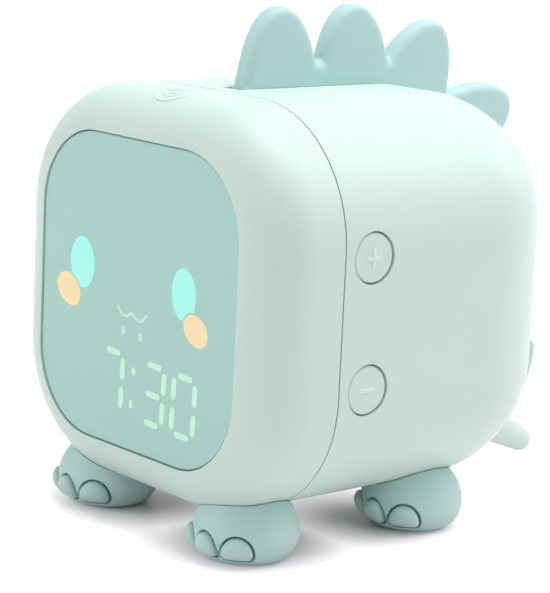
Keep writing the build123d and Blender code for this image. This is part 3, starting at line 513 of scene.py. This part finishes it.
def remeshPiece(piece, voxel, passes):
    remesh = piece.modifiers.new("remesh", "REMESH")
    remesh.mode = "VOXEL"
    remesh.voxel_size = voxel * mm
    smoothPiece(piece, passes)


def finishSoft(piece, node, slot):
    finishPiece(piece, node + "_soft", "clock", finishes[slot])
    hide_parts(node)


# the fins' flanks and the rear fins are drawn out a little, within the crest's own height, in mm
finSetup = {
    "root": 98.0,
    "tip": 111.58,
    "lift": 0.6,
    "rearFrom": 26.0,
    "rearReach": 8,
    "rearRoot": 84.0,
    "rearGrowth": 0.01,
}


def liftFins(crest):
    setup = finSetup
    for vertex in crest.data.vertices:
        height = vertex.co.z / mm
        if setup["root"] < height < setup["tip"]:
            share = (height - setup["root"]) / (setup["tip"] - setup["root"])
            vertex.co.z += setup["lift"] * sin(pi * share) * mm
        back = vertex.co.y / mm - setup["rearFrom"]
        above = height - setup["rearRoot"]
        if back > 0 and above > 0:
            # starts from nothing at the fin's root, so that no step shows there
            vertex.co.z += setup["rearGrowth"] * min(back, setup["rearReach"]) * above * mm
    crest.data.update()


# feet: the dome is read in levels, the toes are crowned D-shaped pads on it with a groove round each, in mm
domeSetup = {
    "levels": 50,
    "levelHeight": 0.2,
    "lowestLevel": 3,
    "readFrom": 30,
}
toeSetup = {
    "moulded": ((-41.0, 6.9), (0.0, 6.9), (41.0, 6.9)),
    "toes": ((-39.0, 6.9), (0.5, 5.8), (40.5, 6.8)),
    "footTurns": {"front_left": -4.0, "front_right": 0.0, "rear_left": 0.0, "rear_right": -2.0},
    "height": 4.8,
    "lift": 1.85,
    "corner": 1.2,
    "middle": 0.01,
    "edge": 0.25,
    "crown": 1.1,
    "crownReach": 2.4,
    "groove": 0.42,
    "depth": 1.4,
    "squareness": 4,
    "margin": 0.7,
    "skin": 1,
    "outFrom": 5,
    "heights": (0.8, 8),
}


def domeRadii(node, axis):
    # the foot's radius at each level, read at its back, where it has no toes
    setup = domeSetup
    radii = []
    for level in range(setup["levels"]):
        height = max(level, setup["lowestLevel"]) * setup["levelHeight"]
        start = Vector((axis.x, axis.y + setup["readFrom"] * mm, height * mm))
        spot = frame["nodes"][node].ray_cast(start, Vector((0, -1, 0)))[1]
        radii.append((spot.y - axis.y) / mm)
    return radii


def radiusAt(radii, height):
    steps = height / domeSetup["levelHeight"]
    level = int(steps)
    return radii[level] + (radii[level + 1] - radii[level]) * (steps - level)


def toeDistance(across, rise, width):
    # distance outside the toe's outline, negative inside it
    setup = toeSetup
    half, corner = width / 2, setup["corner"]
    arch = max(rise - corner, 0)
    share = hypot(across / half, arch / (setup["height"] - corner))
    side = hypot(across, arch) * (1 - 1 / share) if share > setup["middle"] else -half
    if side > -corner and rise < corner:
        return hypot(side + corner, corner - rise) - corner
    return max(side, -rise)


def toeHeight(distance):
    setup = toeSetup
    if distance <= 0:
        part = min(-distance / setup["crownReach"], 1)
        return setup["edge"] + setup["crown"] * sqrt(1 - (1 - part) ** 2)
    if distance < setup["groove"]:
        return -setup["depth"] * (1 - (2 * distance / setup["groove"] - 1) ** setup["squareness"])
    return 0


def shapeToes(foot, axis, radii, toes, flatten):
    # flatten takes the toes down to the dome, otherwise they are raised out of it
    setup = toeSetup
    lowest, highest = setup["heights"]
    creaseShades = [0.0] * len(foot.data.vertices)
    for turn, width in toes:
        outward = Vector((sin(radians(turn)), -cos(radians(turn)), 0))
        sideways = Vector((cos(radians(turn)), sin(radians(turn)), 0))
        for vertex in foot.data.vertices:
            height = vertex.co.z / mm
            place = (vertex.co - axis) / mm
            out, across = place.dot(outward), place.dot(sideways)
            if out < setup["outFrom"] or not lowest < height < highest:
                continue
            radius = radiusAt(radii, height)
            surface = sqrt(max(radius ** 2 - across ** 2, 0))
            distance = toeDistance(across, height - setup["lift"], width)
            if distance > setup["margin"] or out < surface - setup["skin"]:
                continue
            rise = surface - out if flatten else toeHeight(distance)
            if rise < 0 and not flatten:
                # grooves go straight into the dome, and their depth is kept for the material's painted
                # groove shade
                creaseShades[vertex.index] = -rise / setup["depth"]
                vertex.co += (outward * surface + sideways * across) / radius * rise * mm
            else:
                vertex.co += outward * rise * mm
    foot.data.update()
    # the groove depths become the attribute that paints shade into the grooves
    if not flatten:
        creaseShade = foot.data.attributes.new("creaseShade", "FLOAT", "POINT")
        creaseShade.data.foreach_set("value", creaseShades)


def buildSoft(node):
    setup = softSetup[node]
    piece = copyOf(node)
    remeshPiece(piece, setup["voxel"], setup["passes"])
    if node == "crest":
        liftFins(piece)
    finishSoft(piece, node, setup["slot"])


def buildFoot(corner):
    setup = softSetup["foot"]
    node = "foot_" + corner
    low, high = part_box("pad_" + corner)
    axis = (low + high) / 2
    radii = domeRadii(node, axis)
    foot = copyOf(node)
    shapeToes(foot, axis, radii, toeSetup["moulded"], flatten=True)
    remeshPiece(foot, setup["voxel"], setup["passes"])
    footTurn = toeSetup["footTurns"][corner]
    toes = [(turn + footTurn, width) for turn, width in toeSetup["toes"]]
    shapeToes(foot, axis, radii, toes, flatten=False)
    smoothPiece(foot, passes=1)
    finishSoft(foot, node, setup["slot"])


def buildPad(corner):
    node = "pad_" + corner
    pad = copyOf(node)
    softenEdges(pad, padSetup["edge"])
    finishSoft(pad, node, "clear_pad")


for node in ("crest", "tail_fin"):
    buildSoft(node)
for corner in footCorners:
    buildFoot(corner)
for corner in footCorners:
    buildPad(corner)
print("crest, tail fin, feet and pads softened")

# buttons: the cap lies a little under the side face, with a raised sign on it, in mm
signSetup = {
    "sink": 0.2,
    "capSkin": 0.6,
    "raise": 0.19,
    "span": 4.3,
    "bar": 0.85,
    "sides": 32,
    "edge": 0.18,
    "ring": 3.2,
    "uprightShare": 0.98,
    "dotStretch": 1.01,
}
signPlastic = mouldedMaterial("signPlastic", srgb(218, 236, 229), srgb(214, 233, 226), (0.35, 0.42))
buttonSigns = {"plus": "cross", "minus": "bar", "set": "ring", "alarm": "dot"}


def barSolid(length, bar, thickness):
    # a bar along y with round ends, its middle at the origin
    deselectAll()
    bpy.ops.mesh.primitive_cylinder_add(
        vertices=signSetup["sides"], radius=bar / 2, depth=thickness, rotation=(0, pi / 2, 0)
    )
    solid = bpy.context.object
    settle(solid)
    bpy.ops.object.mode_set(mode="EDIT")
    selectWhere(solid, lambda spot: spot.y > 0)
    bpy.ops.transform.translate(value=(0, length - bar, 0))
    bpy.ops.mesh.select_all(action="SELECT")
    bpy.ops.transform.translate(value=(0, -(length - bar) / 2, 0))
    bpy.ops.object.mode_set(mode="OBJECT")
    return solid


def ringSolid(radius, tube, thickness):
    # a ring facing x, its tube pressed to the thickness
    bpy.ops.mesh.primitive_torus_add(major_radius=radius, minor_radius=tube, rotation=(0, pi / 2, 0))
    solid = bpy.context.object
    settle(solid)
    bpy.ops.object.mode_set(mode="EDIT")
    bpy.ops.transform.resize(value=(thickness / (2 * tube), 1, 1), center_override=(0, 0, 0))
    bpy.ops.object.mode_set(mode="OBJECT")
    return solid


def buildSign(key, place):
    setup = signSetup
    bar = setup["bar"] * mm
    thickness = 2 * setup["raise"] * mm
    kind = buttonSigns[key]
    if kind == "ring":
        sign = ringSolid(setup["ring"] / 2 * mm, bar / 3, thickness)
    elif kind == "dot":
        sign = barSolid(setup["dotStretch"] * setup["ring"] * mm / 2, setup["ring"] / 2 * mm, thickness)
    else:
        sign = barSolid(setup["span"] * mm, bar, thickness)
    if kind == "cross":
        upright = barSolid(setup["span"] * mm, bar, setup["uprightShare"] * thickness)
        upright.rotation_euler = (pi / 2, 0, 0)
        settle(upright)
        cutWith(sign, upright, operation="UNION")
    sign.location = place
    settle(sign)
    if kind != "ring":
        softenEdges(sign, setup["edge"])
    finishPiece(sign, key + "_sign", key + "_key", signPlastic)


def buildCap(key):
    cap = copyOf(key + "_button")
    low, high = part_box(key + "_button")
    side = 1 if high.x > 0 else -1
    face = max(abs(low.x), abs(high.x))
    sink = signSetup["sink"] * mm
    bpy.ops.object.mode_set(mode="EDIT")
    selectWhere(cap, lambda spot: abs(spot.x) > face - signSetup["capSkin"] * mm)
    bpy.ops.transform.translate(value=(-side * sink, 0, 0))
    bpy.ops.object.mode_set(mode="OBJECT")
    finishPiece(cap, key + "_cap", key + "_key", finishes["body_plastic"])
    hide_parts(key + "_button")
    buildSign(key, Vector((side * (face - sink), (low.y + high.y) / 2, (low.z + high.z) / 2)))


for key in buttonSigns:
    buildCap(key)
print("button caps and signs built")

# touch mark on the front shell's top edge: a dot inside two rings, laid onto the rounded shell, in mm
touchSetup = {
    "behindFace": 8.4,
    "above": 2,
    "lean": 40,
    "raise": 0.09,
    "rings": ((0.0, 1.1), (2.3, 2.9), (4.4, 5.0)),
    "steps": 64,
}


def flatRing(inner, outer):
    # a flat ring, or a disc where there is no inner radius
    deselectAll()
    bpy.ops.mesh.primitive_circle_add(vertices=touchSetup["steps"], radius=outer * mm, fill_type="NGON")
    ring = bpy.context.object
    bpy.ops.object.mode_set(mode="EDIT")
    bpy.ops.mesh.select_all(action="SELECT")
    if inner:
        bpy.ops.mesh.inset(thickness=(outer - inner) / 2 * mm)
        bpy.ops.mesh.inset(thickness=(outer - inner) / 2 * mm)
        bpy.ops.mesh.delete(type="FACE")
    else:
        bpy.ops.mesh.inset(thickness=outer / 2 * mm)
        bpy.ops.mesh.poke()
    bpy.ops.object.mode_set(mode="OBJECT")
    return ring


def buildTouchMark():
    setup = touchSetup
    mark = joinPieces([flatRing(inner, outer) for inner, outer in setup["rings"]])
    mark.location = (0, faceFront + setup["behindFace"] * mm, shellHigh.z + setup["above"] * mm)
    mark.rotation_euler = (radians(setup["lean"]), 0, 0)
    settle(mark)
    wrap = mark.modifiers.new("wrap", "SHRINKWRAP")
    wrap.target = frame["nodes"]["front_shell"]
    wrap.wrap_method = "NEAREST_SURFACEPOINT"
    solid = mark.modifiers.new("solid", "SOLIDIFY")
    solid.thickness = 2 * setup["raise"] * mm
    solid.offset = 0
    applyModifiers(mark)
    bpy.ops.object.shade_smooth()
    finishPiece(mark, "touch_mark", "clock", finishes["body_plastic"])


buildTouchMark()
print("touch mark built")

# floor: it glows only where it is seen directly; the glow is held back in patches drawn inwards of the
# feet, a painted shadow under the body where their cast shadows show through, in m
floorSetup = {
    "size": 6.0,
    "tone": (0.91, 0.83, 0.865),
    "roughness": 0.4,
    "nearGlow": 0.57,
    "shadowStart": 0.005,
    "shadowEnd": 0.027,
    "shadowDraw": 0.2,
    "farStart": 0.09,
    "farEnd": 0.4,
}


def seenDirectly(tree):
    # 1 for the camera and for what is mirrored or seen through, 0 for the light that falls on the clock
    rays = addNode(tree, "ShaderNodeLightPath")
    seen = addNode(tree, "ShaderNodeMath", operation="MAXIMUM")
    clear = addNode(tree, "ShaderNodeMath", operation="MAXIMUM")
    link(tree, rays.outputs["Is Camera Ray"], seen.inputs[0])
    link(tree, rays.outputs["Is Glossy Ray"], seen.inputs[1])
    link(tree, seen.outputs[0], clear.inputs[0])
    link(tree, rays.outputs["Is Transmission Ray"], clear.inputs[1])
    return clear.outputs[0]


def growth(tree, value, start, end, high):
    # grows softly from 0 at the start to high at the end
    ramp = addNode(tree, "ShaderNodeMapRange", interpolation_type="SMOOTHSTEP")
    for socket, setting in zip(("From Min", "From Max", "To Min", "To Max"), (start, end, 0, high)):
        ramp.inputs[socket].default_value = setting
    link(tree, value, ramp.inputs["Value"])
    return ramp.outputs["Result"]


def nearestPaintedShadow(tree, draw):
    # distance to the nearest painted shadow patch; the patches lie inwards of the feet, under the body
    pads = [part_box("pad_" + corner) for corner in footCorners]
    middle = sum((low + high for low, high in pads), Vector()) / (2 * len(pads))
    place = addNode(tree, "ShaderNodeTexCoord")
    nearest = None
    for low, high in pads:
        spot = ((low + high) / 2).lerp(middle, draw)
        away = addNode(tree, "ShaderNodeVectorMath", operation="DISTANCE")
        away.inputs[1].default_value = (spot.x, spot.y, 0)
        link(tree, place.outputs["Object"], away.inputs[0])
        if nearest:
            least = addNode(tree, "ShaderNodeMath", operation="MINIMUM")
            link(tree, nearest, least.inputs[0])
            link(tree, away.outputs["Value"], least.inputs[1])
            nearest = least.outputs[0]
        else:
            nearest = away.outputs["Value"]
    return nearest


def buildFloor():
    setup = floorSetup
    deselectAll()
    bpy.ops.mesh.primitive_plane_add(size=setup["size"])
    floor = bpy.context.object
    floor.name = "floor"
    material, tree, shader = newMaterial("paleFloor", Roughness=setup["roughness"], Emission_Strength=1.0)
    shader.inputs["Base Color"].default_value = (*setup["tone"], 1)
    # painted shadow: the glow is low near the feet and rises with distance from them
    nearest = nearestPaintedShadow(tree, setup["shadowDraw"])
    near = growth(tree, nearest, setup["shadowStart"], setup["shadowEnd"], setup["nearGlow"])
    far = growth(tree, nearest, setup["farStart"], setup["farEnd"], 1 - setup["nearGlow"])
    total = addNode(tree, "ShaderNodeMath", operation="ADD")
    glow = addNode(tree, "ShaderNodeMath", operation="MULTIPLY")
    link(tree, near, total.inputs[0])
    link(tree, far, total.inputs[1])
    link(tree, total.outputs[0], glow.inputs[0])
    link(tree, seenDirectly(tree), glow.inputs[1])
    link(tree, glow.outputs[0], shader.inputs["Emission Color"])
    floor.data.materials.append(material)


# surroundings: how strongly the world lights the clock, then each softbox's place, aim, size and power
studioSetup = {
    "fill": 0.448,
    "topSoftbox": ((0.1, 0.1, 0.9), (0, -0.02, 0.05), 0.7, 6.12),
    "frontSoftbox": ((-0.5, -0.9, 0.35), (0, -0.05, 0.05), 0.6, 2.2),
    "rearSoftbox": ((0.2, 0.8, 0.6), (0, 0, 0.05), 0.6, 2.32),
    "sideSoftbox": ((0.7, 0.3, 0.8), (0, 0, 0.05), 0.6, 0.71),
}


def buildWorld():
    # a plain white backdrop for the camera and for reflections, and a softer fill on the clock
    world = bpy.data.worlds.new("studio")
    bpy.context.scene.world = world
    world.use_nodes = True
    tree = world.node_tree
    background = tree.nodes["Background"]
    level = addNode(tree, "ShaderNodeMapRange")
    level.inputs["To Min"].default_value = studioSetup["fill"]
    level.inputs["To Max"].default_value = 1.0
    link(tree, seenDirectly(tree), level.inputs["Value"])
    link(tree, level.outputs["Result"], background.inputs["Strength"])
    background.inputs["Color"].default_value = (1, 1, 1, 1)


def addSoftbox(name):
    place, aim, size, power = studioSetup[name]
    lamp = bpy.data.lights.new(name, "AREA")
    lamp.shape = "DISK"
    lamp.size = size
    lamp.energy = power
    softbox = bpy.data.objects.new(name, lamp)
    bpy.context.scene.collection.objects.link(softbox)
    softbox.location = place
    softbox.rotation_euler = (Vector(aim) - Vector(place)).to_track_quat("-Z", "Y").to_euler()


buildFloor()
buildWorld()
for name in ("topSoftbox", "frontSoftbox", "rearSoftbox", "sideSoftbox"):
    addSoftbox(name)
print("floor, world and softboxes set")

# camera: turned about a point behind the display, in degrees, then slid in its own plane, in m
cameraSetup = {
    "azimuth": 49.111,
    "elevation": 11.442,
    "roll": 2.664,
    "distance": 0.50208,
    "slide": (-0.003476, -0.00399),
    "lens": 138.72,
    "sensor": 36,
    "aimBehindFace": 0.04337,
}


def buildCamera():
    setup = cameraSetup
    aim = Vector((0, faceFront + setup["aimBehindFace"], bodyMid))
    turn = radians(setup["azimuth"])
    lift = radians(setup["elevation"])
    tilt = radians(setup["roll"])
    back = Vector((sin(turn) * cos(lift), -cos(turn) * cos(lift), sin(lift)))
    right = Vector((cos(turn), sin(turn), 0))
    up = back.cross(right)
    slideX, slideUp = setup["slide"]
    place = aim + back * setup["distance"] + right * slideX + up * slideUp
    across = cos(tilt) * right + sin(tilt) * up
    upright = cos(tilt) * up - sin(tilt) * right
    camera = bpy.data.cameras.new("camera")
    camera.sensor_width = setup["sensor"]
    camera.lens = setup["lens"]
    stand = bpy.data.objects.new("camera", camera)
    bpy.context.scene.collection.objects.link(stand)
    turned = Matrix((across, upright, back)).transposed()
    stand.matrix_world = Matrix.Translation(place) @ turned.to_4x4()
    bpy.context.scene.camera = stand


buildCamera()
bpy.context.scene.view_settings.view_transform = "Standard"
print("camera set")
